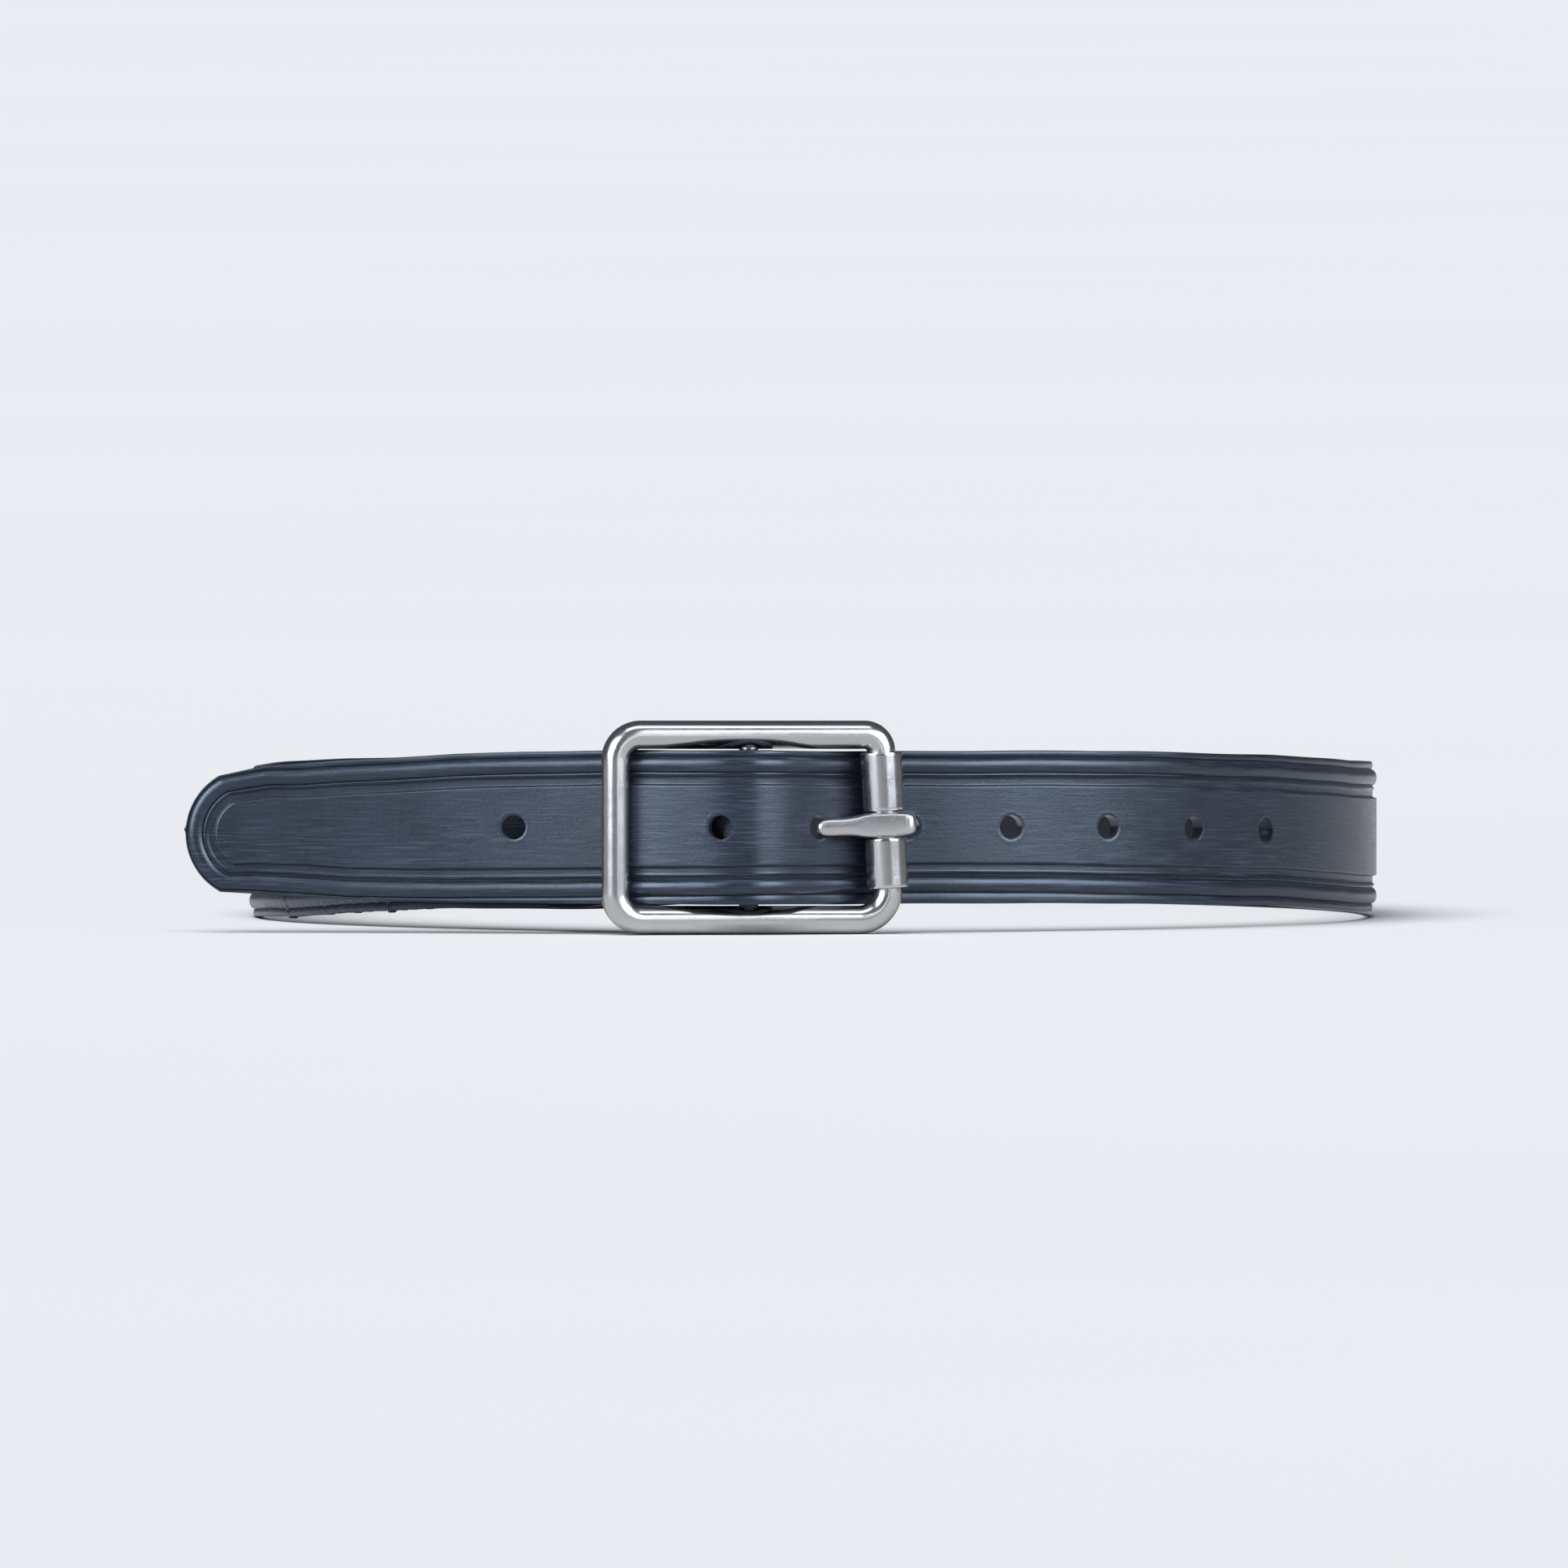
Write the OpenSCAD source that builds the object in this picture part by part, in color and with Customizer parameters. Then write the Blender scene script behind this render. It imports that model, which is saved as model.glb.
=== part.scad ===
// Dive weight belt: one moulded rubber strap closed by a bent-rod roller buckle.
// The belt stands free, leaning back a little on the buckle's lower bar and the
// strap's rear edge. +Z is up, the buckle faces -Y and the tail points to -X.
// Units are millimetres.

/* [Strap] */
// Width of the rubber strap
strap_w = 50; // [40:0.5:60]
// Full thickness over the beads and the raised panel
strap_t = 4.8; // [3.5:0.1:7]
// Width of the raised middle panel
panel_w = 26; // [16:1:34]
// Width of the thin flange along each edge
flange_w = 2.7; // [1:0.1:5]
// Width of the rounded bead inside each flange
bead_w = 5.3; // [3:0.1:8]
// Depth of the grooves beside the panel
groove_d = 1.3; // [0.5:0.1:2]
// Step down from the bead to the flange
flange_d = 1.7; // [0.5:0.1:3]
// Diameter of the adjusting holes
hole_d = 8; // [6:0.5:10]
// Distance between adjusting holes along the strap
hole_pitch = 35.2; // [25:0.5:60]
// Number of adjusting holes
hole_count = 9; // [3:1:16]
// Distance from the tip to the first hole
first_hole = 109; // [60:1:160]

/* [Loop] */
// Radius of the closed loop at mid-thickness
loop_r = 185.8; // [120:0.5:220]
// Clearance left between layers that lie on each other
layer_gap = 0.35; // [0.3:0.05:1]
// Reach of the tail tip to the left of the loop's axis
tail_reach = 207.5; // [150:0.5:260]
// Distance of the tail tip in front of the loop's axis
tail_front = 178; // [120:1:200]
// Reach of the folded end to the left of the loop's axis
fold_reach = 86.6; // [70:0.1:110]
// Distance of the folded end in front of the loop's axis
fold_front = 163.2; // [120:0.1:180]
// Backward lean of the belt as it stands
lean = 1.52; // [0:0.01:4]
// Height of the strap's middle line above the floor, at the loop's axis
stand_h = 30.14; // [25:0.01:45]

/* [Buckle] */
// Diameter of the buckle's rod
rod_d = 9.4; // [6:0.1:12]
// Diameter of the centre bar
bar_d = 6; // [4:0.5:8]
// Distance between the middles of the left and right bars
frame_l = 90.2; // [60:0.5:110]
// Distance between the middles of the upper and lower bars
frame_h = 61; // [45:0.5:80]
// Bend radius of the corners at the rod's middle
corner_r = 8.5; // [6:0.1:20]
// Bend radius of the lower right corner at the rod's middle
low_corner_r = 10; // [6:0.1:20]
// Bend radius of the upper right corner at the rod's middle
high_corner_r = 5.5; // [5:0.1:20]
// Turn of the frame about the vertical
frame_yaw = 10; // [0:0.1:12]
// Lean of the right-hand bar within the frame
bar_lean = 3; // [0:0.5:6]
// Outside diameter of the roller sleeves
roller_d = 14; // [11:0.1:18]
// Length of the upper roller sleeve
upper_roller_l = 19.3; // [10:0.1:22]
// Length of the lower roller sleeve
lower_roller_l = 16.4; // [10:0.1:22]
// Radial running clearance of sleeves and tongue on the bar
run_gap = 0.06; // [0.02:0.01:0.1]

/* [Tongue] */
// Width of the tongue at its eye
tongue_w = 8; // [5:0.1:12]
// Width of the tongue near its tip
tip_w = 5.6; // [3:0.1:8]
// Distance from the pivot to the tongue's tip
tongue_l = 22.4; // [15:0.1:30]
// Distance from the pivot to the back of the heel
heel_l = 10.4; // [7:0.1:14]
// Thickness of the tongue's arm
arm_t = 3.5; // [2:0.1:6]
// Height of the arm's back over the pivot
arm_y = 5.2; // [0:0.1:8]
// Height of the tongue on the bar above the frame's middle
tongue_rise = 0.9; // [0:0.1:3]

/* [Rivets] */
// Diameter of the rivet posts
rivet_d = 5; // [3:0.5:8]
// Diameter of the rivet heads
rivet_head_d = 11; // [7:0.5:14]
// Thickness of the rivet heads
rivet_head_t = 1.2; // [0.6:0.1:2]
// Distance of each rivet from the strap's middle line
rivet_z = 12.5; // [8:0.5:18]

/* [Hidden] */
$fn = 96;
SKIN = 0.02;
LAP = 0.3;
STRAP_RGB = [0.10, 0.12, 0.16];
STEEL_RGB = [0.78, 0.79, 0.80];

half_t = strap_t / 2;
half_w = strap_w / 2;
rod_r = rod_d / 2;
bar_r = bar_d / 2;

// Plan positions: the loop's axis, the right bar, the centre bar and the left bar.
LOOP = [-0.55, 7.6];
RIGHT = [23.1, -188.2];
along = [-cos(frame_yaw), -sin(frame_yaw)];
CENTRE = RIGHT + along * frame_l * 0.506;
LEFT = RIGHT + along * frame_l;
roller_gap = 1.0;

// The strap's route in plan, at mid-thickness, from the tail's tip to the folded end.
// Each stop is [centre, radius, turn]: +1 turns left, -1 turns right, 0 is an end.
STOPS = [
    [[-tail_reach, -tail_front], 0, 1],
    [LEFT, rod_r + layer_gap + half_t, -1],
    [CENTRE, bar_r + 2 * layer_gap + strap_t + half_t, 1],
    [RIGHT, roller_d / 2 + roller_gap + half_t, -1],
    [LOOP, loop_r, 1],
    [CENTRE, bar_r + layer_gap + half_t, -1],
    [[-fold_reach, -fold_front], 0, -1]
];
LAST = len(STOPS) - 1;

function left_of(h) = [-sin(h), cos(h)];
function ahead_of(h) = [cos(h), sin(h)];
function bearing(v) = atan2(v[1], v[0]);

// Heading of the straight from stop i to stop i + 1.
function heading(i) =
    let (a = STOPS[i], b = STOPS[i + 1], v = b[0] - a[0])
    bearing(v) - asin((b[2] * b[1] - a[2] * a[1]) / norm(v));
function leave_pt(i) = STOPS[i][0] - STOPS[i][2] * STOPS[i][1] * left_of(heading(i));
function reach_pt(i) = STOPS[i + 1][0] - STOPS[i + 1][2] * STOPS[i + 1][1] * left_of(heading(i));
function run_len(i) = norm(reach_pt(i) - leave_pt(i));
function wrap360(a) = a - 360 * floor(a / 360);
// Turn made at stop i, always positive.
function turn(i) = wrap360(STOPS[i][2] * (heading(i) - heading(i - 1)));

// Length along the strap where run i starts, and where it ends.
function run_start(i) = i == 0 ? 0 : run_end(i - 1) + turn(i) * PI / 180 * STOPS[i][1];
function run_end(i) = run_start(i) + run_len(i);

// Position and heading at length s along the strap: [x, y, heading].
function at_run(s, i) =
    s <= run_end(i) || i == LAST - 1
        ? (s >= run_start(i) ? on_run(s - run_start(i), i) : on_turn(s - run_end(i - 1), i))
        : at_run(s, i + 1);
function on_run(d, i) =
    let (p = leave_pt(i) + d * ahead_of(heading(i))) [p[0], p[1], heading(i)];
function on_turn(d, i) =
    let (
        k = STOPS[i],
        h = heading(i - 1) + k[2] * d / k[1] * 180 / PI,
        p = k[0] - k[2] * k[1] * left_of(h)
    ) [p[0], p[1], h];

// ---- strap ----

// Section with the outer face to +X and the strap's width along Y. Straight runs are
// drawn in by SKIN so that each one ends inside the bends it meets.
module strap_section(e) {
    back = -half_t + e;
    top = half_t - e;
    edge = half_w - e;
    flange = top - flange_d;
    floor_x = top - groove_d;
    bead_top = half_w - flange_w - e;
    groove_top = half_w - flange_w - bead_w + e;
    panel_top = panel_w / 2 - e;
    polygon([
        [back, -edge], [flange, -edge], [flange, -bead_top],
        [top, -bead_top + 0.8], [top, -groove_top - 0.8],
        [floor_x, -groove_top], [floor_x, -panel_top - 0.5],
        [top, -panel_top], [top, panel_top],
        [floor_x, panel_top + 0.5], [floor_x, groove_top],
        [top, groove_top + 0.8], [top, bead_top - 0.8],
        [flange, bead_top], [flange, edge], [back, edge]
    ]);
}

// Straight run i; the outer face looks to the right of the direction of travel.
module strap_run(i) {
    p = leave_pt(i);
    translate([p[0], p[1], 0]) rotate([0, 0, heading(i)]) translate([-LAP, 0, 0])
        rotate([90, 0, 90]) mirror([1, 0, 0])
            linear_extrude(run_len(i) + 2 * LAP) strap_section(SKIN);
}

// Bend at stop i.
module strap_turn(i) {
    k = STOPS[i];
    start = k[2] > 0 ? heading(i - 1) - 90 : heading(i - 1) + 90 - turn(i);
    translate([k[0][0], k[0][1], 0]) rotate([0, 0, start])
        rotate_extrude(angle = turn(i))
            translate([k[1], 0]) mirror([k[2] > 0 ? 0 : 1, 0]) strap_section(0);
}

// Outline of the tapered tail seen from the front, drawn in by d all round. Its end is trimmed a
// little lower than the strap's middle line.
module tail_outline(d, length) {
    end_r = 22;
    end_low = 2;
    intersection() {
        union() {
            translate([end_r, -end_low]) circle(r = end_r - d);
            translate([end_r, -half_w - 5]) square([length - end_r, strap_w + 10]);
        }
        polygon([
            [-1, 14.4 - d], [25.9, 20.3 - d], [54, 22.3 - d], [89, 24.3 - d], [112, half_w - d],
            [length + 1, half_w - d], [length + 1, -half_w + d], [105, -half_w + d],
            [89, -24.6 + d], [54, -23.7 + d], [-1, -20.6 + d]
        ]);
    }
}

// Slab of the tail between heights z0 and z1 with its outline drawn in by d.
module tail_slab(d, z0, z1, length) {
    translate([0, 0, z0]) linear_extrude(z1 - z0) tail_outline(d, length);
}

// The tail lies flat here with its outer face up, then is stood on edge.
module tail_run() {
    length = run_len(0) + LAP;
    top = strap_t - SKIN;
    flange_top = top - flange_d;
    floor_z = top - groove_d;
    p = leave_pt(0);
    translate([p[0], p[1], 0]) rotate([0, 0, heading(0)])
        rotate([90, 0, 0]) translate([0, 0, -half_t]) {
            tail_slab(SKIN, SKIN, flange_top, length);
            tail_slab(flange_w + SKIN, flange_top - 0.5, floor_z, length);
            difference() {
                tail_slab(flange_w + 0.4, floor_z - 0.5, top, length);
                tail_slab(flange_w + bead_w - 0.4, floor_z, top + 1, length + 1);
            }
            tail_slab(half_w - panel_w / 2 + SKIN, floor_z - 0.5, top, length);
        }
}

module hole_at(s) {
    q = at_run(s, 0);
    translate([q[0], q[1], 0]) rotate([0, 0, q[2]]) rotate([90, 0, 0])
        cylinder(d = hole_d, h = 12, center = true);
}

// Rivets pass through the folded end and the fixed strap where the two come together.
rivet_at = [-77.85, -164.95];
rivet_dir = -119.1;
module rivet_frame(z) {
    translate([rivet_at[0], rivet_at[1], z]) rotate([0, 0, rivet_dir]) rotate([0, 90, 0]) children();
}

module strap_body() {
    difference() {
        union() {
            tail_run();
            for (i = [1 : LAST - 1]) strap_run(i);
            for (i = [1 : LAST - 1]) strap_turn(i);
        }
        for (k = [0 : hole_count - 1]) hole_at(first_hole + k * hole_pitch);
        for (side = [-1, 1]) rivet_frame(side * rivet_z)
            cylinder(d = rivet_d + 0.2, h = 18, center = true);
    }
}

// ---- buckle ----

// Rod bent into a closed four-cornered ring, drawn in the X-Z plane.
function corner_turn(p, q, r) =
    wrap360(bearing(r - q) - bearing(q - p) + 180) - 180;
module rod_ring(pts, bends, r) {
    n = len(pts);
    for (i = [0 : n - 1]) {
        p = pts[(i + n - 1) % n];
        q = pts[i];
        e = pts[(i + 1) % n];
        g = pts[(i + 2) % n];
        bend_r = bends[i];
        a = corner_turn(p, q, e);
        b = corner_turn(q, e, g);
        cut_a = bend_r * tan(a / 2);
        cut_b = bends[(i + 1) % n] * tan(b / 2);
        h = bearing(e - q);
        from = q + cut_a * ahead_of(h);
        mid = q + cut_a * ahead_of(bearing(q - p) + 180) + bend_r * left_of(bearing(q - p));
        translate([from[0], from[1], 0]) rotate([0, 0, h]) rotate([0, 90, 0]) translate([0, 0, -LAP])
            cylinder(r = r - SKIN, h = norm(e - q) - cut_a - cut_b + 2 * LAP);
        translate([mid[0], mid[1], 0]) rotate([0, 0, bearing(q - p) - 90])
            rotate_extrude(angle = a) translate([bend_r, 0]) circle(r = r);
    }
}

// Frame plane: X runs left to right along the frame, Y runs up it.
module in_frame_plane() {
    translate([RIGHT[0], RIGHT[1], 0]) rotate([0, 0, frame_yaw]) rotate([90, 0, 0]) children();
}

half_h = frame_h / 2;
lean_dx = half_h * tan(bar_lean);
RING = [
    [-frame_l, -half_h], [lean_dx, -half_h], [-lean_dx, half_h], [-frame_l, half_h]
];

// The right-hand bar's own frame: Z runs up the bar.
module on_right_bar() {
    translate([RIGHT[0], RIGHT[1], 0]) rotate([0, 0, frame_yaw]) rotate([0, -bar_lean, 0]) children();
}

module ring_body() {
    in_frame_plane() rod_ring(RING, [corner_r, low_corner_r, high_corner_r, corner_r], rod_r);
}

// The centre bar is welded in, its ends hollowed to sit on the upper and lower bars.
module centre_bar_body() {
    difference() {
        translate([CENTRE[0], CENTRE[1], 0]) cylinder(r = bar_r, h = frame_h - 4, center = true);
        in_frame_plane() for (side = [-1, 1])
            translate([-frame_l * 0.506, side * half_h, 0]) rotate([0, 90, 0])
                cylinder(r = rod_r, h = 4 * bar_r, center = true);
    }
}

module sleeve(z0, length) {
    on_right_bar() translate([0, 0, z0]) difference() {
        cylinder(d = roller_d, h = length);
        translate([0, 0, -1]) cylinder(r = rod_r + run_gap, h = length + 2);
    }
}

// ---- tongue ----

tongue_dir = -frame_yaw;
// Side view of the tongue's arm: X towards the heel, Y away from the wearer.
module tongue_side() {
    top = arm_y + arm_t;
    polygon([
        [-tongue_l + 0.8, arm_y], [-tongue_l, arm_y + 0.7], [-tongue_l, top - 1],
        [-tongue_l + 1.2, top], [-12, top + 0.3], [-5, top + 0.1],
        [heel_l - 2, top], [heel_l, top - 1.8], [heel_l, 0.5], [heel_l - 1.5, -1.2],
        [5, -4], [-4, -4], [-6.6, 0], [-12, 2.7], [-17.4, arm_y]
    ]);
}

// Front view of the tongue, tapering from the eye to a rounded tip.
module tongue_front() {
    tip_x = -tongue_l + tip_w / 2;
    polygon([
        [heel_l - 2.5, -tongue_w / 2 - 1], [heel_l + 1, -tongue_w / 2 + 2.5],
        [heel_l + 1, tongue_w / 2 - 2.5], [heel_l - 2.5, tongue_w / 2 + 1],
        [-5.9, tongue_w / 2 + 1], [-11, tip_w / 2 + 0.4], [tip_x - 0.3, tip_w / 2],
        [tip_x - 0.3, -tip_w / 2], [-11, -tip_w / 2 - 0.4], [-5.9, -tongue_w / 2 - 1]
    ]);
    translate([tip_x, 0]) circle(d = tip_w - SKIN);
}

module tongue_body() {
    arm_w = tongue_w - 2 * SKIN;
    on_right_bar() translate([0, 0, tongue_rise]) rotate([0, 0, tongue_dir]) difference() {
        union() {
            translate([0, 0, -tongue_w / 2]) cylinder(d = roller_d, h = tongue_w);
            intersection() {
                translate([0, 0, -arm_w / 2]) mirror([0, 1, 0]) linear_extrude(arm_w) tongue_side();
                rotate([90, 0, 0]) translate([0, 0, -15]) linear_extrude(30) tongue_front();
            }
        }
        translate([0, 0, -tongue_w]) cylinder(r = rod_r + run_gap, h = 2 * tongue_w);
    }
}

// ---- rivets ----

stack_t = 2 * strap_t + 1.85;
module rivet_post_body(z) {
    rivet_frame(z) {
        translate([0, 0, -stack_t / 2 - rivet_head_t]) cylinder(d = rivet_head_d, h = rivet_head_t);
        translate([0, 0, -stack_t / 2 - 0.2])
            cylinder(d = rivet_d, h = stack_t + 0.2 + rivet_head_t);
    }
}
module rivet_cap_body(z) {
    rivet_frame(z) translate([0, 0, stack_t / 2]) difference() {
        cylinder(d = rivet_head_d, h = rivet_head_t);
        translate([0, 0, -1]) cylinder(d = rivet_d, h = rivet_head_t + 2);
    }
}

// Everything is drawn with the strap's middle line at z = 0, then leant back and
// lifted so that the lower bar and the strap's rear edge touch z = 0.
module stood() {
    translate([0, 0, stand_h]) rotate([-lean, 0, 0]) children();
}

module strap() color(STRAP_RGB) stood() strap_body();
module buckle_frame() color(STEEL_RGB) stood() ring_body();
module centre_bar() color(STEEL_RGB) stood() centre_bar_body();
module upper_roller() color(STEEL_RGB) stood() sleeve(tongue_rise + tongue_w / 2 + 0.5, upper_roller_l);
module lower_roller() color(STEEL_RGB) stood() sleeve(tongue_rise - tongue_w / 2 - 0.5 - lower_roller_l, lower_roller_l);
module tongue() color(STEEL_RGB) stood() tongue_body();
module rivet_post_upper() color(STEEL_RGB) stood() rivet_post_body(rivet_z);
module rivet_post_lower() color(STEEL_RGB) stood() rivet_post_body(-rivet_z);
module rivet_cap_upper() color(STEEL_RGB) stood() rivet_cap_body(rivet_z);
module rivet_cap_lower() color(STEEL_RGB) stood() rivet_cap_body(-rivet_z);

strap();
buckle_frame();
centre_bar();
upper_roller();
lower_roller();
tongue();
rivet_post_upper();
rivet_post_lower();
rivet_cap_upper();
rivet_cap_lower();
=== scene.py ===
"""Looks of the dive weight belt: moulded rubber strap, bent-rod roller buckle, tongue and rivets."""

import math
from functools import lru_cache

import bmesh
import bpy
import numpy as np
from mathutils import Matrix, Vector


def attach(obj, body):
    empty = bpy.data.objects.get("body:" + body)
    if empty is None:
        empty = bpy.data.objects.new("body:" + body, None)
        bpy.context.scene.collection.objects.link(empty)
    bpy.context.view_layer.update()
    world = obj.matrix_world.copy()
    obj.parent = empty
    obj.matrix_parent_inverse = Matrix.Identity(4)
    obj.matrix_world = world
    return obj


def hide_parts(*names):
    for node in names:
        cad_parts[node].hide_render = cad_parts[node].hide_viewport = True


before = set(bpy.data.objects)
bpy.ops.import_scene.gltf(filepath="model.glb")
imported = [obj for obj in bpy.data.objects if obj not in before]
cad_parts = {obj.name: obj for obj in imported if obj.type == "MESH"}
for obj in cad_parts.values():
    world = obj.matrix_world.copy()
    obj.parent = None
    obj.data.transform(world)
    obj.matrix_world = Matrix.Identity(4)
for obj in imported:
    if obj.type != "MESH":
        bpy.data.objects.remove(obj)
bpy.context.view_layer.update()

MM = 0.001

# ---------------------------------------------------------------------------
# Sizes, in millimetres, as in the CAD source
# ---------------------------------------------------------------------------
STRAP_T = 4.8
HALF_T = STRAP_T / 2
HALF_W = 25.0
LAYER_GAP = 0.35
LOOP_R = 185.8
ROD_R = 4.7
BAR_R = 3.0
FRAME_L = 90.2
HALF_H = 30.5
FRAME_YAW = math.radians(10)
BAR_LEAN = math.radians(3)
CORNER_RADII = (8.5, 10.0, 5.5, 8.5)
ROLLER_R = 7.0
UPPER_ROLLER_L = 19.3
LOWER_ROLLER_L = 16.4
RUN_GAP = 0.06
ROLLER_GAP = 1.0
TONGUE_RISE = 0.9
TONGUE_HALF_W = 4.0
SIDE_GAP = 0.5
HOLE_R = 4.0
HOLE_PITCH = 35.2
FIRST_HOLE = 109.0
HOLE_COUNT = 9
LEAN = math.radians(1.52)
STAND_H = 30.14
BAR_SHARE = 0.506

LOOP = np.array([-0.55, 7.6])
RIGHT = np.array([23.1, -188.2])
ALONG = np.array([-math.cos(FRAME_YAW), -math.sin(FRAME_YAW)])
CENTRE = RIGHT + ALONG * FRAME_L * BAR_SHARE
LEFT = RIGHT + ALONG * FRAME_L
TIP = np.array([-207.5, -178.0])
FOLD_END = np.array([-86.6, -163.2])
RIVET_AT = np.array([-77.85, -164.95])
RIVET_DIR = math.radians(-119.1)
RIVET_Z = 12.5
RIVET_HOLE_R = 2.6
RIVET_DROP = 1.6  # the rivets follow the layer that hangs a little
RIVET_STACK = 2 * STRAP_T + 1.85


def stood(points):
    """Drawing frame (strap's middle line at z 0, millimetres) to the leaning row frame in metres."""
    p = np.asarray(points, float).reshape(-1, 3)
    c, s = math.cos(LEAN), math.sin(LEAN)
    out = np.stack([p[:, 0], p[:, 1] * c + p[:, 2] * s, -p[:, 1] * s + p[:, 2] * c + STAND_H], 1)
    return out * MM


# ---------------------------------------------------------------------------
# The strap's route in plan: tangent runs and bends from the tip to the folded end
# ---------------------------------------------------------------------------
STOPS = [
    (TIP, 0.0, 1),
    (LEFT, ROD_R + LAYER_GAP + HALF_T, -1),
    (CENTRE, BAR_R + 2 * LAYER_GAP + STRAP_T + HALF_T, 1),
    (RIGHT, ROLLER_R + ROLLER_GAP + HALF_T, -1),
    (LOOP, LOOP_R, 1),
    (CENTRE, BAR_R + LAYER_GAP + HALF_T, -1),
    (FOLD_END, 0.0, -1),
]


def left_of(h):
    return np.array([-math.sin(h), math.cos(h)])


def ahead_of(h):
    return np.array([math.cos(h), math.sin(h)])


def heading(i):
    (a, ra, ta), (b, rb, tb) = STOPS[i], STOPS[i + 1]
    v = b - a
    return math.atan2(v[1], v[0]) - math.asin((tb * rb - ta * ra) / np.linalg.norm(v))


def route_pieces():
    """[(start length, end length, kind, data)] along the strap."""
    out, s = [], 0.0
    for i in range(len(STOPS) - 1):
        h = heading(i)
        a = STOPS[i][0] - STOPS[i][2] * STOPS[i][1] * left_of(h)
        b = STOPS[i + 1][0] - STOPS[i + 1][2] * STOPS[i + 1][1] * left_of(h)
        if i:
            c, r, t = STOPS[i]
            turn = (t * (h - heading(i - 1))) % (2 * math.pi)
            out.append((s, s + turn * r, "bend", (c, r, t, heading(i - 1))))
            s += turn * r
        run = float(np.linalg.norm(b - a))
        out.append((s, s + run, "run", (a, h)))
        s += run
    return out


ROUTE = route_pieces()
TOTAL = ROUTE[-1][1]


@lru_cache(maxsize=None)
def on_route(s):
    """Plan point and heading at length s."""
    for s0, s1, kind, data in ROUTE:
        if s <= s1 or s1 == TOTAL:
            d = s - s0
            if kind == "run":
                return data[0] + d * ahead_of(data[1]), data[1]
            c, r, t, h0 = data
            h = h0 + t * d / r
            return c - t * r * left_of(h), h


def step(x, a, b):
    """Smooth 0 to 1 as x goes from a to b."""
    t = np.clip((np.asarray(x, float) - a) / (b - a), 0, 1)
    return t * t * (3 - 2 * t)


LOOP_FROM, LOOP_TO = ROUTE[7][0], ROUTE[7][1]
TAIL_RUN, FRAME_RUN = 0, 2
TAIL_BOW, FRAME_BOW = -4.0, 1.4


@lru_cache(maxsize=None)
def droop(s):
    """How far the strap hangs below its nominal line, never lower than the floor it stands on."""
    turned = math.degrees((s - LOOP_FROM) / LOOP_R)
    low = float(np.interp(turned, [22, 30, 42, 60, 78, 100, 140], [0, 0.4, 1.0, 3.0, 3.2, 2.6, 0.0]))
    low += float(
        np.interp(
            turned,
            [175, 215, 250, 278.5, 287.5, 292, 296, 307.5, 317.5, 320.56],
            [0, 2.5, 4.9, 4.7, 3.8, 3.0, 2.6, 1.8, 2.1, 2.2],
        )
    ) * (1 - float(step(s, LOOP_TO, 1372)))
    low += 2.0 * float(step(s, TOTAL - 30, TOTAL - 12)) - 0.5 * float(step(s, LOOP_TO, 1372))
    if LOOP_FROM < s < LOOP_TO:
        y = on_route(s)[0][1]
        low = min(low, STAND_H - HALF_W - 0.1 - y * math.sin(LEAN))
    return -low


def bow(s):
    """Gentle bowing of the runs on either side of the left bar: the tail inwards, the next run outwards."""
    for number, depth in ((TAIL_RUN, TAIL_BOW), (FRAME_RUN, FRAME_BOW)):
        s0, s1 = ROUTE[number][0], ROUTE[number][1]
        if s0 <= s <= s1:
            t = (s - s0) / (s1 - s0)
            return 4 * depth * t * (1 - t)
    return 0.0


# ---------------------------------------------------------------------------
# Mesh helpers
# ---------------------------------------------------------------------------
def new_object(name, verts, faces, material, body, node=None, angle=32.0):
    mesh = bpy.data.meshes.new(name)
    mesh.from_pydata([tuple(v) for v in verts], [], [tuple(f) for f in faces])
    mesh.validate()
    obj = bpy.data.objects.new(name, mesh)
    bpy.context.scene.collection.objects.link(obj)
    finish_mesh(obj, angle)
    if material is not None:
        mesh.materials.append(material)
    if body:
        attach(obj, body)
    if node:
        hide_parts(node)
    return obj


def finish_mesh(obj, angle):
    """Outward normals, smooth faces, and sharp edges where faces meet at more than angle degrees."""
    bm = bmesh.new()
    bm.from_mesh(obj.data)
    bmesh.ops.recalc_face_normals(bm, faces=bm.faces)
    limit = math.radians(angle)
    for f in bm.faces:
        f.smooth = True
    for e in bm.edges:
        e.smooth = len(e.link_faces) == 2 and e.calc_face_angle(0) < limit
    bm.to_mesh(obj.data)
    bm.free()


def grid_faces(rows, cols, wrap=True):
    out = []
    last = cols if wrap else cols - 1
    for i in range(rows - 1):
        for j in range(last):
            k = (j + 1) % cols
            out.append((i * cols + j, i * cols + k, (i + 1) * cols + k, (i + 1) * cols + j))
    return out


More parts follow.
